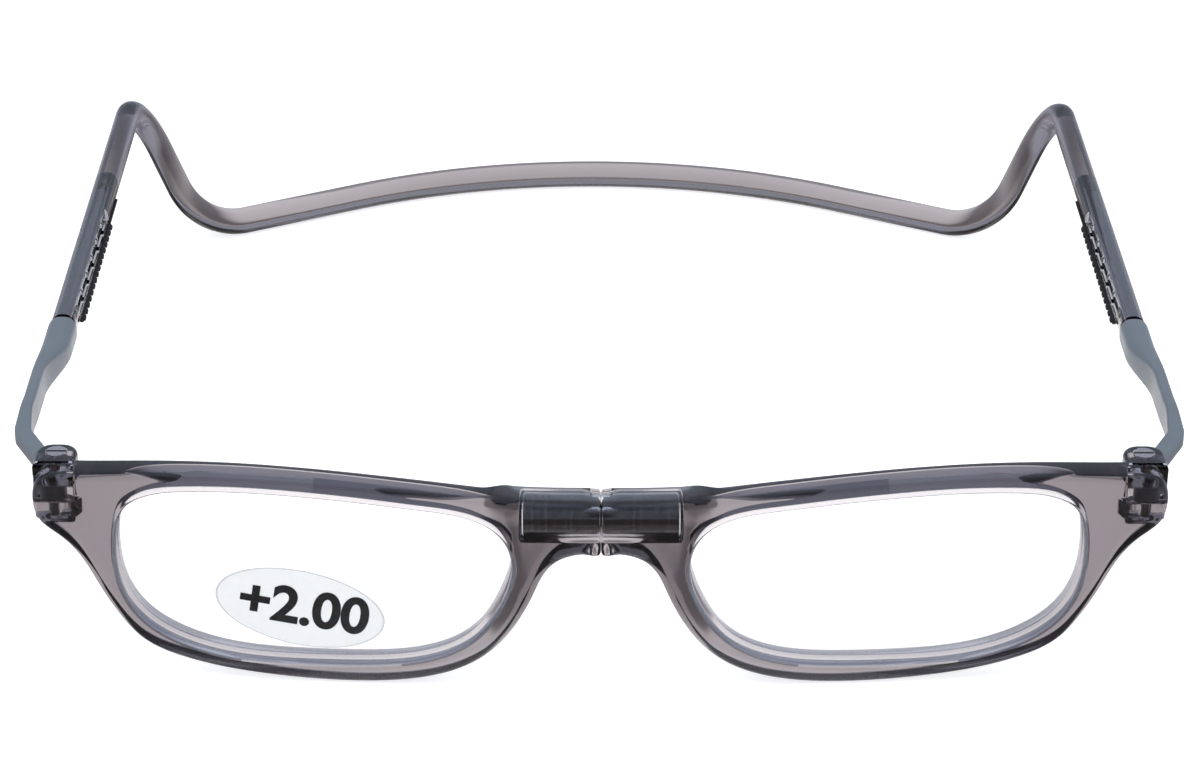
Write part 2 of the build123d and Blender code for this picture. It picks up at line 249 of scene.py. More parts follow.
# Per lamp: its name, place, aim, size, power and colour
LAMPS = [
    ("key", (-0.25, -0.35, 0.85), (0.0, 0.0, 0.0), (0.6, 0.6), 3.5, (1.0, 0.99, 0.97)),
    ("fill", (0.5, 0.3, 0.6), (0.0, 0.0, 0.0), (0.5, 0.5), 1.2, (0.92, 0.96, 1.0)),
    ("front", (0.1, -0.95, 0.55), (0.0, -0.05, 0.01), (0.7, 0.35), 3.0, (0.90, 0.95, 1.0)),
]

# Camera: places in metres, lens in millimetres, turns in degrees, shift in picture widths
CAMERA_AIM = (0.0, FRONT_Y * MM, 0.024)
CAMERA_AWAY = (0.0, -0.3667, 0.2052)
CAMERA_LENS = 103.56
CAMERA_SHIFT = -2.0 / 1200
CAMERA_SWING = -0.53285
CAMERA_TILT = 62.9
CAMERA_ROLL = 0.35


def smoothstep(low, high, value):
    """0 up to one value and 1 from another, with a soft passage between."""
    t = np.clip((value - low) / (high - low), 0.0, 1.0)
    return t * t * (3 - 2 * t)


def spline(points, closed, spacing):
    """A cubic spline through the points, sampled at even steps along its length."""
    p = np.array(points, float)
    if closed:
        p = np.vstack([p, p[:1]])
    t = np.concatenate([[0], np.cumsum(np.linalg.norm(np.diff(p, axis=0), axis=1))])
    n = len(p) - 1
    h = np.diff(t)
    slope = np.diff(p, axis=0) / h[:, None]
    # The curve's bends at the points solve one set of linear equations
    a, b = np.zeros((n + 1, n + 1)), np.zeros((n + 1, p.shape[1]))
    for i in range(1, n):
        a[i, i - 1], a[i, i], a[i, i + 1] = h[i - 1], 2 * (h[i - 1] + h[i]), h[i]
        b[i] = 6 * (slope[i] - slope[i - 1])
    if closed:
        a[0, 0], a[0, 1], a[0, n - 1] = 2 * (h[-1] + h[0]), h[0], h[-1]
        b[0] = 6 * (slope[0] - slope[-1])
        a[n, n], a[n, 0] = 1, -1
    else:
        a[0, 0] = a[n, n] = 1
    m = np.linalg.solve(a, b)
    fine = np.linspace(0, t[-1], 40 * n)
    k = np.clip(np.searchsorted(t, fine, side="right") - 1, 0, n - 1)
    u, v = (fine - t[k])[:, None], (t[k + 1] - fine)[:, None]
    hk = h[k][:, None]
    curve = m[k] * v**3 / (6 * hk) + m[k + 1] * u**3 / (6 * hk)
    curve += (p[k] / hk - m[k] * hk / 6) * v + (p[k + 1] / hk - m[k + 1] * hk / 6) * u
    return resample(curve, closed, spacing)


def resample(curve, closed, spacing):
    """The same curve with points at even steps."""
    length = np.concatenate([[0], np.cumsum(np.linalg.norm(np.diff(curve, axis=0), axis=1))])
    count = max(3, int(round(length[-1] / spacing)))
    steps = np.linspace(0, length[-1], count + 1)
    even = np.stack([np.interp(steps, length, curve[:, i]) for i in range(curve.shape[1])], axis=1)
    return even[:-1] if closed else even


def round_corners(loop, passes, share):
    """Eases the corners of a closed loop by averaging neighbours, where share is 1."""
    for _ in range(passes):
        eased = 0.25 * np.roll(loop, 1, axis=0) + 0.5 * loop + 0.25 * np.roll(loop, -1, axis=0)
        loop = loop + (eased - loop) * share[:, None]
    return loop


def inward_normals(loop):
    """Unit directions into a closed loop, at each of its points."""
    x, y = loop[:, 0], loop[:, 1]
    clockwise = np.sum(x * np.roll(y, -1) - np.roll(x, -1) * y) < 0
    tangent = np.roll(loop, -1, axis=0) - np.roll(loop, 1, axis=0)
    tangent /= np.linalg.norm(tangent, axis=1)[:, None]
    normal = np.stack([tangent[:, 1], -tangent[:, 0]], axis=1)
    return normal if clockwise else -normal


def make_object(name, verts, faces, smooth_angle=35):
    """A new mesh object from millimetre points."""
    mesh = bpy.data.meshes.new(name)
    mesh.from_pydata([tuple(c * MM for c in v) for v in verts], [], faces)
    mesh.validate()
    work = bmesh.new()
    work.from_mesh(mesh)
    bmesh.ops.remove_doubles(work, verts=work.verts, dist=MERGE_DISTANCE)
    bmesh.ops.recalc_face_normals(work, faces=work.faces)
    work.to_mesh(mesh)
    work.free()
    mesh.shade_smooth()
    mesh.set_sharp_from_angle(angle=math.radians(smooth_angle))
    piece = bpy.data.objects.new(name, mesh)
    bpy.context.scene.collection.objects.link(piece)
    return piece


def mirrored(piece, name):
    """A copy mirrored across the middle plane."""
    copy = piece.copy()
    copy.data = piece.data.copy()
    copy.name = copy.data.name = name
    copy.data.transform(Matrix.Scale(-1, 4, (1, 0, 0)))
    copy.data.flip_normals()
    copy.data.validate()
    bpy.context.scene.collection.objects.link(copy)
    return copy


def apply_boolean(piece, cutters, operation="DIFFERENCE"):
    """Cuts the cutters out of a piece, or joins them to it, and removes them."""
    for cutter in cutters:
        modifier = piece.modifiers.new("cut", "BOOLEAN")
        modifier.operation = operation
        modifier.solver = "EXACT"
        modifier.object = cutter
        depsgraph = bpy.context.evaluated_depsgraph_get()
        result = bpy.data.meshes.new_from_object(piece.evaluated_get(depsgraph))
        piece.modifiers.clear()
        piece.data = result
        piece.data.validate()
        bpy.data.objects.remove(cutter)
    return piece


# The shape of a front half
def front_y(x):
    """The front face, which wraps back towards the ends."""
    return FRONT_Y + WRAP * (x / FRONT_HALF) ** 2


def rear_y(x):
    """The rear face, which stands further back behind the magnets."""
    barrel = 1 - smoothstep(BARREL_END, BARREL_END + BARREL_FLARE, x)
    plain = front_y(x) + RIM_THICKNESS + END_THICKENING * (x / FRONT_HALF) ** 2
    return plain + (FRONT_Y + BRIDGE_DEPTH - plain) * barrel


def round_barrel(point):
    """Draws the bridge's rear in above and below, so that it backs the magnet as a barrel."""
    x, y, z = point
    middle_y = FRONT_Y + BRIDGE_DEPTH / 2
    back = float(np.clip((y - middle_y) / (BRIDGE_DEPTH / 2), 0, 1)) * BARREL_BACK
    share = 1 - float(smoothstep(BARREL_END, BARREL_END + BARREL_FLARE, x))
    share *= float(smoothstep(*BARREL_FOOT, z))
    reach = float(np.clip(z - MAGNET_HEIGHT, -BARREL_REACH, BARREL_REACH))
    return (x, y, z - reach * share * (1 - math.sqrt(1 - back**2)))


def outer_loop():
    """The rim's outline in front view: along the top, down the end and back along the bottom."""
    top = spline(np.array(TOP_SHARES) * FRONT_SIZE, False, OUTLINE_STEP)
    bottom = spline(np.array(BOTTOM_SHARES) * FRONT_SIZE, False, OUTLINE_STEP)
    corners = np.array(END_SHARES) * FRONT_SIZE
    path = np.vstack([top, corners, bottom, top[:1]])
    path[:, 0] = np.maximum(path[:, 0], SEAM_HALF)
    loop = resample(path, True, RIM_STEP)
    loop = round_corners(loop, END_PASSES, smoothstep(*END_ZONE, loop[:, 0]))
    loop = round_corners(loop, BRIDGE_PASSES, 1 - smoothstep(*BRIDGE_ZONE, loop[:, 0]))
    return resample(np.vstack([loop, loop[:1]]), True, RIM_STEP)


def edge_rings(loop, normals, radius, steps, front):
    """Rings of points that round the edge between the wall and a face."""
    rings = []
    for step in range(steps + 1):
        angle = math.pi / 2 * step / steps
        ring = loop + normals * radius * (1 - math.cos(angle))
        depth = radius[:, 0] * (1 - math.sin(angle))
        if front:
            y = front_y(ring[:, 0]) + depth
        else:
            y = rear_y(ring[:, 0]) - depth
        rings.append(np.stack([ring[:, 0], y, ring[:, 1]], axis=1))
    return rings


def fill_between(outer_ring, inner_ring, front):
    """Triangles of the flat face between two rings, with extra points so that the face can bend."""
    outer, inner = outer_ring[:, [0, 2]], inner_ring[:, [0, 2]]
    edges = [(i, (i + 1) % len(outer)) for i in range(len(outer))]
    edges += [(len(outer) + i, len(outer) + (i + 1) % len(inner)) for i in range(len(inner))]
    steps = [np.arange(start, end, FACE_GRID) for start, end in zip(FACE_START, FRONT_SIZE)]
    xs, zs = np.meshgrid(*steps)
    extra = np.stack([xs.ravel(), zs.ravel()], axis=1)
    rings = np.vstack([outer, inner])
    near = np.array([np.min(np.sum((rings - e) ** 2, axis=1)) for e in extra])
    extra = extra[near > FACE_CLEARANCE**2]
    points = [Vector(p) for p in np.vstack([rings, extra])]
    verts, _, faces, _, _, _ = delaunay_2d_cdt(points, edges, [], 0, FLAT_TOLERANCE)
    flat = np.array([tuple(v) for v in verts])
    kept = []
    for face in faces:
        centre = flat[list(face)].mean(axis=0)
        if inside(centre, outer) and not inside(centre, inner):
            kept.append(list(face))
    y = front_y(flat[:, 0]) if front else rear_y(flat[:, 0])
    return np.stack([flat[:, 0], y, flat[:, 1]], axis=1), kept


def inside(point, loop):
    """Whether a point lies in a closed loop."""
    x, y = point
    a, b = loop, np.roll(loop, -1, axis=0)
    crosses = (a[:, 1] > y) != (b[:, 1] > y)
    with np.errstate(divide="ignore", invalid="ignore"):
        at = a[:, 0] + (y - a[:, 1]) / (b[:, 1] - a[:, 1]) * (b[:, 0] - a[:, 0])
    return bool(np.count_nonzero(crosses & (x < at)) % 2)


def build_front(name):
    """One front half with rounded edges and the lens groove in its opening."""
    outer = outer_loop()
    opening = spline(np.array(OPENING_SHARES) * FRONT_SIZE, True, OUTLINE_STEP)
    outer_in = inward_normals(outer)
    opening_out = -inward_normals(opening)
    verts, faces = [], []

    def add_strip(rings):
        """Joins rings of equal point counts with a wall."""
        start = len(verts)
        count = len(rings[0])
        for ring in rings:
            verts.extend(map(tuple, ring))
        for r in range(len(rings) - 1):
            for i in range(count):
                j = (i + 1) % count
                a, b = start + r * count, start + (r + 1) * count
                faces.append((a + i, a + j, b + j, b + i))

    seam = smoothstep(*SEAM_ZONE, outer[:, 0])
    outer_round = (SEAM_ROUND + (OUTER_ROUND - SEAM_ROUND) * seam)[:, None]
    front_outer = edge_rings(outer, outer_in, outer_round, OUTER_STEPS, True)
    rear_outer = edge_rings(outer, outer_in, outer_round, OUTER_STEPS, False)
    add_strip(front_outer[::-1] + rear_outer)
    inner_round = np.full((len(opening), 1), INNER_ROUND)
    front_inner = edge_rings(opening, opening_out, inner_round, INNER_STEPS, True)
    rear_inner = edge_rings(opening, opening_out, inner_round, INNER_STEPS, False)
    groove = []
    for depth, out in (
        (GROOVE_FROM, 0), (GROOVE_FROM, GROOVE_DEPTH), (GROOVE_TO, GROOVE_DEPTH), (GROOVE_TO, 0)
    ):
        ring = opening + opening_out * out
        groove.append(np.stack([ring[:, 0], front_y(ring[:, 0]) + depth, ring[:, 1]], axis=1))
    add_strip(front_inner[::-1] + groove + rear_inner)
    for rings, holes, front in ((front_outer, front_inner, True), (rear_outer, rear_inner, False)):
        points, tris = fill_between(rings[-1], holes[-1], front)
        start = len(verts)
        verts.extend(map(tuple, points))
        faces.extend([tuple(start + i for i in tri) for tri in tris])
    return make_object(name, [round_barrel(v) for v in verts], faces, FRONT_SHARP)


def loft(name, rings, smooth_angle=35):
    """A closed solid through rings of equal point counts, capped at both ends."""
    count = len(rings[0])
    verts = [tuple(p) for ring in rings for p in ring]
    faces = []
    for r in range(len(rings) - 1):
        for i in range(count):
            j = (i + 1) % count
            faces.append((r * count + i, r * count + j, (r + 1) * count + j, (r + 1) * count + i))
    faces.append(tuple(range(count)))
    faces.append(tuple(range((len(rings) - 1) * count, len(rings) * count)))
    return make_object(name, verts, faces, smooth_angle)


def prism(name, plan, low, high, ease):
    """A solid on a plan outline, with its upper and lower edges eased by a quarter round."""
    plan = np.array(plan, float)
    inward = inward_normals(plan)
    rings = []
    steps = 5
    for step in range(steps + 1):
        angle = math.pi / 2 * step / steps
        ring = plan + inward * ease * (1 - math.sin(angle))
        height = low + ease * (1 - math.cos(angle))
        rings.append(np.column_stack([ring, np.full(len(ring), height)]))
    rings += [np.column_stack([ring[:, :2], low + high - ring[:, 2]]) for ring in rings[::-1]]
    return loft(name, rings)


def round_rod(name, start, radius, length, count=64):
    """A plain upright cylinder, in millimetres."""
    angles = np.linspace(0, 2 * math.pi, count, endpoint=False)
    x, y, z = start
    ring = [(x + radius * math.cos(a), y + radius * math.sin(a)) for a in angles]
    return loft(name, [[(*point, z + along) for point in ring] for along in (0.0, length)])


def dome_rod(name, start, radius, length, ease, count=96):
    """A cylinder along +X whose far edge is eased by a quarter round, in millimetres."""
    rings = [(0.0, radius)]
    steps = 6
    for step in range(steps + 1):
        angle = math.pi / 2 * step / steps
        rings.append((length - ease * (1 - math.sin(angle)), radius - ease * (1 - math.cos(angle))))
    angles = np.linspace(0, 2 * math.pi, count, endpoint=False)
    x, y, z = start
    return loft(name, [[(x + along, y + wide * math.cos(a), z + wide * math.sin(a)) for a in angles]
                       for along, wide in rings])


def rounded_rectangle(width, height, radius, per_corner=7):
    """Points of a rounded rectangle, anticlockwise from the middle of its lower right corner."""
    points = []
    for corner, (sx, sy) in enumerate(((1, -1), (1, 1), (-1, 1), (-1, -1))):
        start = math.radians(-90 + 90 * corner)
        for step in range(per_corner):
            angle = start + math.pi / 2 * step / (per_corner - 1)
            x = sx * (width / 2 - radius) + radius * math.cos(angle)
            y = sy * (height / 2 - radius) + radius * math.sin(angle)
            points.append((x, y))
    return np.array(points)


def round_box(name, centre, size, ease):
    """A box with eased edges, in millimetres."""
    plan = rounded_rectangle(size[0], size[1], ease) + np.array(centre[:2])
    return prism(name, plan, centre[2] - size[2] / 2, centre[2] + size[2] / 2, ease)


# The hinge block and the cuts of the front halves
def block_plan():
    """Hinge block seen from above: square where it grows out of the rim, round at the back."""
    front = front_y(HINGE_X) + RIM_THICKNESS / 2
    back = HINGE_Y + BLOCK_REACH
    half = BLOCK_WIDTH / 2
    points = [(HINGE_X - half, front), (HINGE_X + half, front)]
    steps = 8
    for start, corner_x in ((0, half - BLOCK_ROUND), (math.pi / 2, BLOCK_ROUND - half)):
        for step in range(steps + 1):
            angle = start + math.pi / 2 * step / steps
            x = HINGE_X + corner_x + BLOCK_ROUND * math.cos(angle)
            points.append((x, back - BLOCK_ROUND + BLOCK_ROUND * math.sin(angle)))
    return resample(np.array(points + points[:1]), True, RIM_STEP)


def mark_wall(front, side):
    """Marks the wall inside the lens opening, which comes out of the mould half matt."""
    matt = front.data.attributes.new("matt", "FLOAT", "FACE")
    opening = np.array(OPENING_SHARES) * FRONT_SIZE
    middle = (opening.min(axis=0) + opening.max(axis=0)) / 2
    half = (opening.max(axis=0) - opening.min(axis=0)) / 2 + WALL_MARGIN
    for face in front.data.polygons:
        x, _, z = face.center / MM
        across, up = x * side - middle[0], z - middle[1]
        if abs(across) < half[0] and abs(up) < half[1] and abs(face.normal.y) < WALL_SLOPE:
            if face.normal.x * side * across + face.normal.z * up < 0:
                matt.data[face.index].value = WALL_MATT


def build_fronts():
    """Both front halves, each with its hinge block, screw hole and magnet pocket."""
    left = build_front("front_left_shell")
    low = HINGE_Z + BLOCK_LIFT - BLOCK_HEIGHT / 2
    high = low + BLOCK_HEIGHT
    block = prism("block", block_plan(), low, high, BLOCK_EASE)
    apply_boolean(left, [block], "UNION")
    gap_y = HINGE_Y - EYE_RADIUS - GAP_CLEARANCE + GAP_LENGTH / 2
    gap_size = (BLOCK_WIDTH + 2 * GAP_OUTWARD, GAP_LENGTH, HINGE_GAP)
    gap = round_box("gap", (HINGE_X + GAP_OUTWARD, gap_y, HINGE_Z), gap_size, GAP_EASE)
    hole = round_rod("hole", (HINGE_X, HINGE_Y, low + SCREW_FLOOR), SCREW_RADIUS, BLOCK_HEIGHT, 40)
    recess_at = (HINGE_X, HINGE_Y, high - SCREW_HEAD_SINK)
    recess = round_rod("recess", recess_at, SCREW_HEAD_RADIUS, BLOCK_HEIGHT)
    pocket_at = (-OVERRUN, FRONT_Y + BRIDGE_DEPTH / 2, MAGNET_HEIGHT)
    pocket = dome_rod("pocket", pocket_at, POCKET_RADIUS, POCKET_LENGTH + OVERRUN, POCKET_ROUND)
    apply_boolean(left, [gap, hole, recess, pocket])
    left.data.set_sharp_from_angle(angle=math.radians(FRONT_SHARP))
    right = mirrored(left, "front_right_shell")
    mark_wall(left, 1)
    mark_wall(right, -1)
    return {"left": left, "right": right}


# The headband
def band_path():
    """The left half of the headband's middle line, from the tube's mouth to the rear's middle."""

    def on_rear(angle):
        x, y = BAND_RADIUS * math.sin(angle), BAND_CENTRE_Y + BAND_RADIUS * math.cos(angle)
        return Vector((x, y, BAND_Z))

    reach = math.hypot(BAND_RADIUS, BAND_STRAIGHT)
    start = math.asin(DROP_X / reach) - math.atan2(BAND_STRAIGHT, BAND_RADIUS)
    drop_y = on_rear(start).y - BAND_STRAIGHT * math.sin(start)
    corners = [
        Vector((TUBE_X, MOUTH_Y, HINGE_Z)),
        Vector((TUBE_X, drop_y + EAR_SETBACK, HINGE_Z)),
        Vector((DROP_X, drop_y, BAND_Z)),
        on_rear(start),
    ]
    points = [corners[0]]
    points += bend(*corners[:3], EAR_RADIUS)
    points += bend(*corners[1:], DROP_RADIUS)
    steps = 24
    points += [on_rear(start * (1 - step / steps)) for step in range(steps + 1)]
    return resample(np.array([tuple(p) for p in points]), False, BAND_STEP)


def bend(before, corner, after, radius):
    """Points of the arc that rounds a corner of a path."""
    a, b = (before - corner).normalized(), (after - corner).normalized()
    half = a.angle(b) / 2
    reach = radius / math.tan(half)
    middle = corner + (a + b).normalized() * (radius / math.sin(half))
    first, last = corner + a * reach - middle, corner + b * reach - middle
    turn = first.angle(last)
    steps = 24
    arc = []
    for step in range(steps + 1):
        t = step / steps
        swept = first * math.sin((1 - t) * turn) + last * math.sin(t * turn)
        arc.append(middle + swept / math.sin(turn))
    return arc


def carried_frames(path):
    """Across and up directions along a path, carried along without twist."""
    tangent = np.gradient(path, axis=0)
    tangent /= np.linalg.norm(tangent, axis=1)[:, None]
    across = Vector((-1, 0, 0))
    frames = []
    for t in tangent:
        along = Vector(t)
        across = (across - along * across.dot(along)).normalized()
        frames.append((across.copy(), along.cross(across)))
    return frames


def mark_matt(band, notches):
    """Marks the notches' rounded edges and far walls, which come out of the mould matt."""
    matt = band.data.attributes.new("matt", "FLOAT", "FACE")
    half = Vector(NOTCH) / 2
    for face in band.data.polygons:
        centre = face.center / MM
        aligned = max(abs(part) for part in face.normal) > SQUARE_ON
        if aligned and face.normal.y > FAR_WALL:
            continue
        for middle in notches:
            beyond = max(abs(centre[k] - middle[k]) - half[k] for k in range(3))
            if -NOTCH_ROUND < beyond < NOTCH_MARGIN:
                matt.data[face.index].value = NOTCH_MATT


def build_headband():
    """One bent bar over both sides, with bore, notches and the strip's seat cut in each tube."""
    path = band_path()
    frames = carried_frames(path)
    section = rounded_rectangle(TUBE_WIDTH, TUBE_HEIGHT, TUBE_EASE, 9)
    rings = []
    for point, (across, up) in zip(path, frames):
        slim = 1 - TUBE_SLIMMER * (1 - float(smoothstep(*SLIM_ZONE, DROP_X - point[0])))
        ring = np.array([tuple(Vector(point) + across * a * slim + up * b) for a, b in section])
        ring[:, 2] = np.maximum(ring[:, 2], 0.0)
        rings.append(ring)
    rings[-1][:, 0] = 0.0
    rings += [ring * np.array([-1, 1, 1]) for ring in rings[-2::-1]]
    band = loft("headband_clear", rings, BAND_SHARP)
    cutters, notches = [], []
    for side in SIDES.values():
        inner_x = side * (TUBE_X - TUBE_WIDTH / 2)
        pin_y = MOUTH_Y + FIRST_NOTCH
        last_y = pin_y - (NOTCH_COUNT - 1) * NOTCH_PITCH
        bore_at = (side * TUBE_X, MOUTH_Y + BORE[1] / 2 - OVERRUN, HINGE_Z)
        bore_size = (BORE[0], BORE[1] + 2 * OVERRUN, BORE[2])
        cutters.append(round_box("bore", bore_at, bore_size, BORE_EASE))
        slot_at = (inner_x, (pin_y + last_y) / 2, HINGE_Z + SLOT_RISE)
        slot_size = (2 * SLOT_DEPTH, pin_y - last_y + SLOT_SPARE, SLOT_HEIGHT)
        cutters.append(round_box("slot", slot_at, slot_size, SLOT_EASE))
        for number in range(NOTCH_COUNT):
            notches.append((inner_x, pin_y - number * NOTCH_PITCH, HINGE_Z + NOTCH_RISE))
            cutters.append(round_box("notch", notches[-1], NOTCH, NOTCH_ROUND))
        start = last_y - NOTCH[1] / 2
        seat_length = pin_y + NOTCH[1] / 2 + STRIP_TAIL - start
        seat_at = (inner_x, start + seat_length / 2, HINGE_Z - STRIP_DROP)
        seat_size = (2 * SEAT_DEPTH, seat_length, SEAT_HEIGHT)
        cutters.append(round_box("seat", seat_at, seat_size, SEAT_EASE))
    apply_boolean(band, cutters)
    mark_matt(band, notches)
    band.data.set_sharp_from_angle(angle=math.radians(BAND_SHARP))
    return band


# The arms
def build_arm():
    """Left arm: eye, hook, elbow, thin blade, swelling shoulder with a domed end, and tongue."""
    low, high = HINGE_Z - HOOK_HEIGHT / 2, HINGE_Z + HOOK_HEIGHT / 2
    middle_x = ARM_OUTER_X - HOOK_WIDTH / 2
    end_y = MOUTH_Y - MOUTH_GAP
    hook_end = Vector((middle_x + ELBOW_BULGE, ELBOW_Y, HINGE_Z))
    line = [Vector((HINGE_X, HINGE_Y, HINGE_Z))]
    line += bend(line[0], hook_end, Vector((middle_x, ELBOW_Y + ELBOW_RUN, HINGE_Z)), ELBOW_RADIUS)
    line += [Vector((middle_x, y, HINGE_Z)) for y in (ELBOW_Y + BLADE_RUN, end_y)]
    path = resample(np.array([tuple(p) for p in line]), False, ARM_STEP)
    tangent = np.gradient(path, axis=0)
    tangent /= np.linalg.norm(tangent, axis=1)[:, None]
    rings = []
    for point, along in zip(path, tangent):
        grow = float(smoothstep(*BLADE_ZONE, point[1]))
        swell = float(smoothstep(*SHOULDER_ZONE, point[1]))
        width = HOOK_WIDTH + (BLADE_WIDTH - HOOK_WIDTH) * grow + (TUBE_WIDTH - BLADE_WIDTH) * swell
        height = HOOK_HEIGHT + (TUBE_HEIGHT - HOOK_HEIGHT) * grow
        radius = HOOK_EASE + BLADE_EASE * grow + SHOULDER_EASE * swell
        end = max(0.0, 1 - (end_y - point[1]) / DOME_LENGTH)
        shrink = 1 - DOME_SHRINK * (1 - math.sqrt(max(0.0, 1 - end**2)))
        outward = np.array([along[1], -along[0], 0.0])
        centre = point + outward * (HOOK_WIDTH - width) / 2
        radius = min(radius, min(width, height) / 2 - EASE_SPARE)
        section = rounded_rectangle(width, height, radius) * shrink
        rings.append([tuple(centre + outward * a + np.array([0, 0, b])) for a, b in section])
    arm = loft("arm", rings, ARM_SHARP)
    eye = round_rod("eye", (HINGE_X, HINGE_Y, low), EYE_RADIUS, high - low)
    tongue_at = (TUBE_X, MOUTH_Y - TONGUE_ROOT / 2 + TONGUE[1] / 2, HINGE_Z)
    tongue_size = (TONGUE[0], TONGUE[1] + TONGUE_ROOT, TONGUE[2])
    tongue = round_box("tongue", tongue_at, tongue_size, TONGUE_EASE)
    apply_boolean(arm, [eye, tongue], "UNION")
    arm.data.set_sharp_from_angle(angle=math.radians(ARM_SHARP))
    return arm


# The print on the label
def build_print():
    """A plain lens power on the label, as thin letters that follow the curve of the lens."""
    data = bpy.data.curves.new("label_print", "FONT")
    data.body = "+2.00"
    data.size = PRINT_SIZE
    data.offset = PRINT_BOLDER
    data.align_x = "CENTER"
    data.align_y = "CENTER"
    flat = bpy.data.objects.new("flat_print", data)
    bpy.context.scene.collection.objects.link(flat)
    depsgraph = bpy.context.evaluated_depsgraph_get()
    mesh = bpy.data.meshes.new_from_object(flat.evaluated_get(depsgraph))
    bpy.data.objects.remove(flat)
    work = bmesh.new()
    work.from_mesh(mesh)
    bmesh.ops.triangulate(work, faces=work.faces)
    bmesh.ops.subdivide_edges(work, edges=work.edges, cuts=1)
    turn = Matrix.Rotation(math.radians(PRINT_TURN), 3, "Z")
    for vert in work.verts:
        across, up, _ = turn @ vert.co
        x, z = across + PRINT_AT[0], up + PRINT_AT[1]
        vert.co = Vector((x, front_y(x) + PRINT_DEPTH, z)) * MM
    work.to_mesh(mesh)
    work.free()
    piece = bpy.data.objects.new("label_print", mesh)
    bpy.context.scene.collection.objects.link(piece)
    return piece


# Node helpers
def new_material(name):
    """A node material, its tree and its principled shader."""
    material = bpy.data.materials.new(name)
    material.use_nodes = True
    tree = material.node_tree
    shader = tree.nodes["Principled BSDF"]
    return material, tree, shader


def add(tree, kind, **properties):
    """A new node with its properties set."""
    node = tree.nodes.new(kind)
    for name, value in properties.items():
        setattr(node, name, value)
    return node


def combine(tree, operation, first, second):
    """A math operation on two values, of which the second may be a plain number."""
    node = add(tree, "ShaderNodeMath", operation=operation)
    tree.links.new(first, node.inputs[0])
    if isinstance(second, float):
        node.inputs[1].default_value = second
    else:
        tree.links.new(second, node.inputs[1])
    return node.outputs[0]


def fade(tree, value, start, end, low=0.0, high=1.0):
    """A soft passage from low at one value to high at another."""
    node = add(tree, "ShaderNodeMapRange", interpolation_type="SMOOTHSTEP")
    node.inputs["From Min"].default_value = start
    node.inputs["From Max"].default_value = end
    node.inputs["To Min"].default_value = low
    node.inputs["To Max"].default_value = high
    tree.links.new(value, node.inputs["Value"])
    return node.outputs["Result"]


def pick(tree, share, first, second):
    """The first shader where share is 0, and the second where it is 1."""
    node = add(tree, "ShaderNodeMixShader")
    tree.links.new(share, node.inputs["Fac"])
    tree.links.new(first, node.inputs[1])
    tree.links.new(second, node.inputs[2])
    return node.outputs["Shader"]


def both(tree, first, second):
    """Two shaders' light added up."""
    node = add(tree, "ShaderNodeAddShader")
    tree.links.new(first, node.inputs[0])
    tree.links.new(second, node.inputs[1])
    return node.outputs["Shader"]


def noise(tree, scale, detail=4.0, stretch=(1, 1, 1)):
    """Noise in the object's own metres, stretched along the axes."""
    place = add(tree, "ShaderNodeTexCoord")
    mapping = add(tree, "ShaderNodeMapping")
    mapping.inputs["Scale"].default_value = stretch
    texture = add(tree, "ShaderNodeTexNoise")
    texture.inputs["Scale"].default_value = scale
    texture.inputs["Detail"].default_value = detail
    tree.links.new(place.outputs["Object"], mapping.inputs["Vector"])
    tree.links.new(mapping.outputs["Vector"], texture.inputs["Vector"])
    return texture.outputs["Fac"]


def ramp(tree, source, stops):
    """A colour ramp from pairs of place and colour."""
    node = add(tree, "ShaderNodeValToRGB")
    elements = node.color_ramp.elements
    for element, (place, colour) in zip(elements, (stops[0], stops[-1])):
        element.position, element.color = place, (*colour, 1)
    for place, colour in stops[1:-1]:
        elements.new(place).color = (*colour, 1)
    tree.links.new(source, node.inputs["Fac"])
    return node.outputs["Color"]


def map_range(tree, source, low, high):
    """Spreads a value of 0 to 1 evenly from low to high."""
    node = add(tree, "ShaderNodeMapRange")
    node.inputs["To Min"].default_value = low
    node.inputs["To Max"].default_value = high
    tree.links.new(source, node.inputs["Value"])
    return node.outputs["Result"]


def bump(tree, shader, height, strength, distance):
    """Raises the surface finely by a height."""
    node = add(tree, "ShaderNodeBump")
    node.inputs["Strength"].default_value = strength
    node.inputs["Distance"].default_value = distance
    tree.links.new(height, node.inputs["Height"])
    tree.links.new(node.outputs["Normal"], shader.inputs["Normal"])


def clear_shadows(tree, shader, tint, clear=None):
    """Lets shadow rays through the piece, tinted, and all rays unbent as far as clear says."""
    through = add(tree, "ShaderNodeBsdfTransparent")
    through.inputs["Color"].default_value = (*tint, 1)
    passes = add(tree, "ShaderNodeLightPath").outputs["Is Shadow Ray"]
    if clear:
        passes = combine(tree, "MAXIMUM", passes, clear)
    mixed = pick(tree, passes, shader.outputs["BSDF"], through.outputs["BSDF"])
    tree.links.new(mixed, tree.nodes["Material Output"].inputs["Surface"])


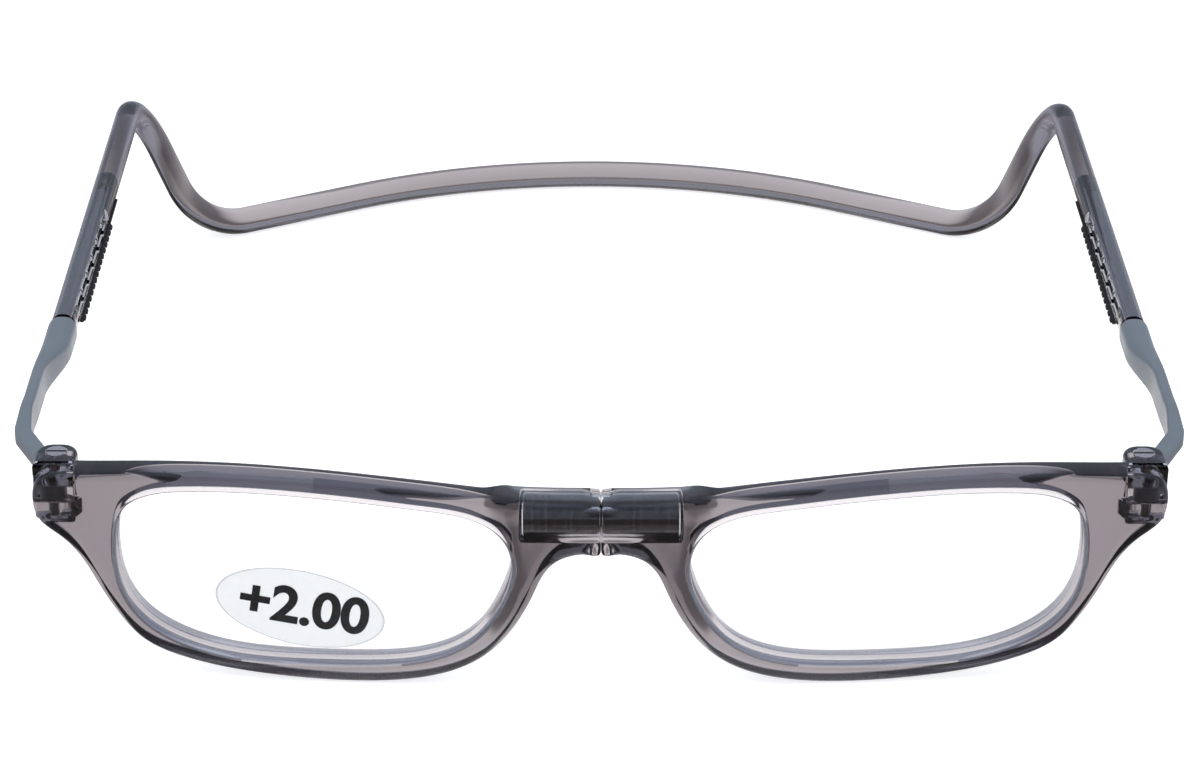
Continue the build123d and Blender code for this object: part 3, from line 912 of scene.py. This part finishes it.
# Materials
def smoke_plastic():
    """Clear brown-grey plastic with flow marks and a polished skin, matt where the mesh says so."""
    material, tree, shader = new_material("smoke_plastic")
    matt = add(tree, "ShaderNodeAttribute", attribute_name="matt").outputs["Fac"]
    colour = ramp(tree, matt, [(0.0, (1, 1, 1)), (0.5, MATT_WALL), (1.0, MATT_EDGE)])
    tree.links.new(colour, shader.inputs["Base Color"])
    tree.links.new(map_range(tree, matt, 1.0, 0.1), shader.inputs["Transmission Weight"])
    shader.inputs["IOR"].default_value = PLASTIC_IOR
    marks = noise(tree, 260.0, 3.0, (0.35, 1.0, 1.0))
    polished, ground = map_range(tree, marks, 0.0, 0.05), map_range(tree, matt, 0.0, 0.5)
    tree.links.new(combine(tree, "MAXIMUM", polished, ground), shader.inputs["Roughness"])
    bump(tree, shader, marks, 0.06, 0.0003)
    volume = add(tree, "ShaderNodeVolumeAbsorption")
    volume.inputs["Color"].default_value = (*SMOKE_ABSORB, 1)
    volume.inputs["Density"].default_value = SMOKE_DENSITY
    clear_shadows(tree, shader, SMOKE_SHADOW)
    tree.links.new(volume.outputs["Volume"], tree.nodes["Material Output"].inputs["Volume"])
    return material


def cup_plastic():
    """Clear colourless plastic of the magnet cups."""
    material, tree, shader = new_material("cup_clear")
    shader.inputs["Base Color"].default_value = (*CUP_TINT, 1)
    shader.inputs["Transmission Weight"].default_value = 1.0
    shader.inputs["IOR"].default_value = PLASTIC_IOR
    haze = noise(tree, 120.0, 2.0)
    tree.links.new(map_range(tree, haze, 0.0, 0.02), shader.inputs["Roughness"])
    clear_shadows(tree, shader, CUP_SHADOW)
    return material


def lens_plastic():
    """Clear polished lens, seen through almost unbent, whose ground edge is frosted."""
    material, tree, shader = new_material("lens_clear")
    place = add(tree, "ShaderNodeTexCoord")
    split = add(tree, "ShaderNodeSeparateXYZ")
    tree.links.new(place.outputs["Normal"], split.inputs["Vector"])
    facing = add(tree, "ShaderNodeMath", operation="ABSOLUTE")
    tree.links.new(split.outputs["Y"], facing.inputs[0])
    edge = combine(tree, "LESS_THAN", facing.outputs[0], LENS_EDGE)
    grain = noise(tree, 1400.0, 3.0)
    ground = ramp(tree, grain, [(0.3, (0.20, 0.23, 0.31)), (0.7, (0.29, 0.33, 0.42))])
    colour = add(tree, "ShaderNodeMix", data_type="RGBA")
    tree.links.new(edge, colour.inputs["Factor"])
    colour.inputs["A"].default_value = (1, 1, 1, 1)
    tree.links.new(ground, colour.inputs["B"])
    tree.links.new(colour.outputs["Result"], shader.inputs["Base Color"])
    tree.links.new(map_range(tree, edge, 0.0, 0.55), shader.inputs["Roughness"])
    tree.links.new(map_range(tree, edge, 1.0, 0.2), shader.inputs["Transmission Weight"])
    shader.inputs["IOR"].default_value = PLASTIC_IOR
    clear_shadows(tree, shader, LENS_TINT, map_range(tree, edge, LENS_CLEAR, 0.0))
    return material


def arm_paint():
    """Satin blue-grey lacquer with a fine orange-peel skin and slightly worn, darker mottling."""
    material, tree, shader = new_material("arm_grey")
    tone = noise(tree, 90.0, 5.0)
    colour = ramp(tree, tone, [(0.3, (0.130, 0.162, 0.192)), (0.7, (0.156, 0.190, 0.222))])
    tree.links.new(colour, shader.inputs["Base Color"])
    grain = noise(tree, 2600.0, 3.0)
    tree.links.new(map_range(tree, grain, 0.34, 0.46), shader.inputs["Roughness"])
    shader.inputs["Coat Weight"].default_value = 0.25
    shader.inputs["Coat Roughness"].default_value = 0.25
    bump(tree, shader, grain, 0.12, 0.00004)
    return material


def grained(name, grain, stops, rough, raised):
    """A material whose one noise gives its colours, its roughness and its fine bumps."""
    material, tree, shader = new_material(name)
    height = noise(tree, *grain)
    tree.links.new(ramp(tree, height, stops), shader.inputs["Base Color"])
    tree.links.new(map_range(tree, height, *rough), shader.inputs["Roughness"])
    bump(tree, shader, height, *raised)
    return material, shader


def magnet_metal():
    """Dull dark nickel skin of a magnet, with fine turning marks round it."""
    stops = [(0.3, (0.02, 0.02, 0.022)), (0.6, (0.045, 0.045, 0.05)), (0.8, (0.13, 0.13, 0.14))]
    streaks = (2200.0, 6.0, (1.0, 0.08, 0.08))
    material, shader = grained("magnet_nickel", streaks, stops, (0.22, 0.42), (0.25, 0.00005))
    shader.inputs["Metallic"].default_value = 1.0
    return material


def steel(name):
    """Small turned steel parts with fine tool marks."""
    stops = [(0.3, (0.48, 0.47, 0.46)), (0.7, (0.64, 0.63, 0.62))]
    turned = (3000.0, 4.0, (1.0, 1.0, 0.2))
    material, shader = grained(name, turned, stops, (0.2, 0.38), (0.15, 0.00003))
    shader.inputs["Metallic"].default_value = 1.0
    return material


def black_plastic():
    """Matt black of the toothed strip, with a moulded grain."""
    stops = [(0.3, (0.003, 0.003, 0.003)), (0.75, (0.011, 0.011, 0.012))]
    return grained("strip_black", (1800.0, 4.0), stops, (0.45, 0.65), (0.3, 0.00005))[0]


def label_paper():
    """White peel-off label film, slightly uneven, with a faint grey line round its edge."""
    stops = [(0.3, (0.95, 0.95, 0.95)), (0.7, (0.98, 0.98, 0.98))]
    material, shader = grained("label_white", (900.0, 5.0), stops, (0.4, 0.55), (0.1, 0.00003))
    tree = material.node_tree
    place = add(tree, "ShaderNodeTexCoord").outputs["Object"]
    for socket, value in (
        ("Location", (-LABEL_AT[0] * MM, 0.0, -LABEL_AT[1] * MM)),
        ("Rotation", (0.0, math.radians(-LABEL_TILT), 0.0)),
        ("Scale", (2 / (LABEL_SIZE[0] * MM), 0.0, 2 / (LABEL_SIZE[1] * MM))),
    ):
        mapping = add(tree, "ShaderNodeMapping", vector_type="POINT")
        mapping.inputs[socket].default_value = value
        tree.links.new(place, mapping.inputs["Vector"])
        place = mapping.outputs["Vector"]
    reach = add(tree, "ShaderNodeVectorMath", operation="LENGTH")
    tree.links.new(place, reach.inputs[0])
    stops = [(0.0, (1, 1, 1)), (0.965, (1, 1, 1)), (0.985, (0.72, 0.73, 0.76))]
    edged = add(tree, "ShaderNodeMix", data_type="RGBA", blend_type="MULTIPLY")
    edged.inputs["Factor"].default_value = 1.0
    tree.links.new(shader.inputs["Base Color"].links[0].from_socket, edged.inputs["A"])
    tree.links.new(ramp(tree, reach.outputs["Value"], stops), edged.inputs["B"])
    tree.links.new(edged.outputs["Result"], shader.inputs["Base Color"])
    return material


def label_ink():
    """Black print with slight wear."""
    material, tree, shader = new_material("label_ink")
    wear = noise(tree, 1500.0, 5.0)
    colour = ramp(tree, wear, [(0.35, (0.006, 0.006, 0.007)), (0.8, (0.02, 0.02, 0.022))])
    tree.links.new(colour, shader.inputs["Base Color"])
    shader.inputs["Roughness"].default_value = 0.55
    return material


MATERIALS = {
    "rim": smoke_plastic(),
    "lens": lens_plastic(),
    "magnet": magnet_metal(),
    "magnet_cup": cup_plastic(),
    "hinge_screw": steel("screw_steel"),
    "front_arm": arm_paint(),
    "detent_pin": steel("pin_steel"),
    "ratchet_strip": black_plastic(),
    "power_label": label_paper(),
}
MATERIALS["headband"] = MATERIALS["rim"]


def dress(piece, material):
    """Gives a piece its one material."""
    piece.data.materials.clear()
    piece.data.materials.append(material)


fronts = build_fronts()
headband = build_headband()
arms = {"left": build_arm()}
arms["right"] = mirrored(arms["left"], "arm_right_piece")
arms["left"].name = "arm_left_piece"
for side in SIDES:
    dress(fronts[side], MATERIALS["rim"])
    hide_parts(f"rim_{side}")
    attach(fronts[side], f"front_{side}")
    dress(arms[side], MATERIALS["front_arm"])
    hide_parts(f"front_arm_{side}")
    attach(arms[side], f"arm_{side}")
label_print = build_print()
dress(label_print, label_ink())
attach(label_print, "front_right")
dress(headband, MATERIALS["headband"])
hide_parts("headband_left", "headband_right")
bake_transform(headband)

for name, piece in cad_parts.items():
    stem, _, end = name.rpartition("_")
    dress(piece, MATERIALS[stem if end in SIDES else name])


# Studio
def distance(tree, place, middle, squash=1.0):
    """How far a place is from a spot, measured shorter along Y by the squash."""
    flat = add(tree, "ShaderNodeMapping", vector_type="TEXTURE")
    flat.inputs["Location"].default_value = middle
    flat.inputs["Scale"].default_value = (1.0, squash, 1.0)
    tree.links.new(place, flat.inputs["Vector"])
    away = add(tree, "ShaderNodeVectorMath", operation="LENGTH")
    tree.links.new(flat.outputs["Vector"], away.inputs[0])
    return away.outputs["Value"]


def emission(tree, strength, colour=(1, 1, 1)):
    """A glow of a colour, whose strength is a plain number or another node's value."""
    node = add(tree, "ShaderNodeEmission")
    node.inputs["Color"].default_value = (*colour, 1)
    if isinstance(strength, float):
        node.inputs["Strength"].default_value = strength
    else:
        tree.links.new(strength, node.inputs["Strength"])
    return node.outputs["Emission"]


def seen_by(tree, plain, bounced, direct):
    """One shader for diffuse and shadow rays, one for bounced and one for camera rays."""
    path = add(tree, "ShaderNodeLightPath").outputs
    either = combine(tree, "MAXIMUM", path["Is Glossy Ray"], path["Is Transmission Ray"])
    return pick(tree, path["Is Camera Ray"], pick(tree, either, plain, bounced), direct)


def floor_light(tree):
    """The floor metal and plastic see: a painted light pool, painted shadows at bridge and band."""
    place = add(tree, "ShaderNodeTexCoord").outputs["Object"]
    centre = distance(tree, place, (0.0, 0.0, 0.0))
    # Painted pool of light round the glasses
    lit = fade(tree, centre, *LIT_FLOOR, 1.0, 0.0)
    # Painted shadow of the bridge
    bridge = distance(tree, place, BRIDGE_SHADOW_MIDDLE, BRIDGE_SHADOW_SQUASH)
    lit = combine(tree, "MULTIPLY", lit, fade(tree, bridge, *BRIDGE_SHADE))
    # Painted shadows on the floor under and behind the band
    band = distance(tree, place, BAND_MIDDLE)
    for *spread, darkest in BAND_SHADES:
        start, dark, near, far = (BAND_RADIUS * MM + step for step in spread)
        behind = fade(tree, band, near, far, darkest)
        left = combine(tree, "MAXIMUM", behind, fade(tree, band, start, dark, 1.0, 0.0))
        lit = combine(tree, "MULTIPLY", lit, left)
    # Painted bluish glow on the outer floor behind the glasses
    split = add(tree, "ShaderNodeSeparateXYZ")
    tree.links.new(place, split.inputs["Vector"])
    back = fade(tree, split.outputs["Y"], *BACK_FLOOR)
    outer = combine(tree, "MULTIPLY", fade(tree, centre, *FAR_FLOOR), back)
    dim = add(tree, "ShaderNodeBsdfDiffuse")
    dim.inputs["Color"].default_value = (*DIM_COLOUR, 1)
    glows = both(tree, emission(tree, lit), emission(tree, outer, FAR_COLOUR))
    return both(tree, glows, dim.outputs["BSDF"])


def build_floor():
    """A floor that keeps a soft shadow and reads white; bounced rays see a painted light pool."""
    half = FLOOR_HALF
    mesh = bpy.data.meshes.new("floor")
    corners = [(-half, -half, 0), (half, -half, 0), (half, half, 0), (-half, half, 0)]
    mesh.from_pydata(corners, [], [(0, 1, 2, 3)])
    floor = bpy.data.objects.new("floor", mesh)
    floor.location.z = -FLOOR_DEPTH
    bpy.context.scene.collection.objects.link(floor)
    material, tree, shader = new_material("floor_white")
    paper = ramp(tree, noise(tree, 40.0, 2.0), [(0.3, (0.8, 0.8, 0.8)), (0.7, (0.82, 0.82, 0.82))])
    tree.links.new(paper, shader.inputs["Base Color"])
    shader.inputs["Roughness"].default_value = 0.9
    shader.inputs["Specular IOR Level"].default_value = 0.0
    matt = shader.outputs["BSDF"]
    white = both(tree, matt, emission(tree, FLOOR_GLOW))
    whole = seen_by(tree, matt, floor_light(tree), white)
    tree.links.new(whole, tree.nodes["Material Output"].inputs["Surface"])
    floor.data.materials.append(material)


def build_world():
    """Plain light and a white view, but to bounced rays a dark room, bluish behind and above."""
    world = bpy.data.worlds.new("studio")
    bpy.context.scene.world = world
    world.use_nodes = True
    tree = world.node_tree
    split = add(tree, "ShaderNodeSeparateXYZ")
    place = add(tree, "ShaderNodeTexCoord")
    tree.links.new(place.outputs["Generated"], split.inputs["Vector"])
    back = add(tree, "ShaderNodeMix", data_type="RGBA")
    back.inputs["A"].default_value = (*ROOM_DARK, 1)
    back.inputs["B"].default_value = (*BACK_LIGHT, 1)
    tree.links.new(fade(tree, split.outputs["Y"], *BACK_ZONE), back.inputs["Factor"])
    zones = add(tree, "ShaderNodeMix", data_type="RGBA")
    zones.inputs["B"].default_value = (*HIGH_LIGHT, 1)
    tree.links.new(back.outputs["Result"], zones.inputs["A"])
    tree.links.new(fade(tree, split.outputs["Z"], *HIGH_ZONE), zones.inputs["Factor"])
    room, white = add(tree, "ShaderNodeBackground"), add(tree, "ShaderNodeBackground")
    tree.links.new(zones.outputs["Result"], room.inputs["Color"])
    white.inputs["Color"].default_value = (1, 1, 1, 1)
    light = tree.nodes["Background"]
    light.inputs["Color"].default_value = (*PLAIN_LIGHT, 1)
    light.inputs["Strength"].default_value = PLAIN_STRENGTH
    whole = seen_by(tree, *(node.outputs["Background"] for node in (light, room, white)))
    tree.links.new(whole, tree.nodes["World Output"].inputs["Surface"])


def build_lamp(name, place, target, size, power, colour):
    """A soft rectangular lamp aimed at a point, which no reflection shows."""
    data = bpy.data.lights.new(name, "AREA")
    data.shape = "RECTANGLE"
    data.size, data.size_y = size
    data.energy = power
    data.color = colour
    lamp = bpy.data.objects.new(name, data)
    lamp.location = place
    lamp.rotation_euler = (Vector(target) - Vector(place)).to_track_quat("-Z", "Y").to_euler()
    lamp.visible_glossy = False
    lamp.visible_transmission = False
    bpy.context.scene.collection.objects.link(lamp)


def build_camera():
    """The camera of the photograph: above and before the bridge, looking down at it."""
    data = bpy.data.cameras.new("camera")
    data.lens = CAMERA_LENS
    data.sensor_width = 36.0
    data.shift_x = CAMERA_SHIFT
    camera = bpy.data.objects.new("camera", data)
    swing, tilt, roll = (
        Matrix.Rotation(math.radians(angle), 4, axis)
        for angle, axis in ((CAMERA_SWING, "Z"), (CAMERA_TILT, "X"), (CAMERA_ROLL, "Z"))
    )
    aim, away = Matrix.Translation(CAMERA_AIM), Matrix.Translation(CAMERA_AWAY)
    camera.matrix_world = aim @ swing @ away @ tilt @ roll
    bpy.context.scene.collection.objects.link(camera)
    bpy.context.scene.camera = camera


build_floor()
build_world()
for lamp in LAMPS:
    build_lamp(*lamp)
build_camera()
bpy.context.scene.view_settings.view_transform = "Standard"
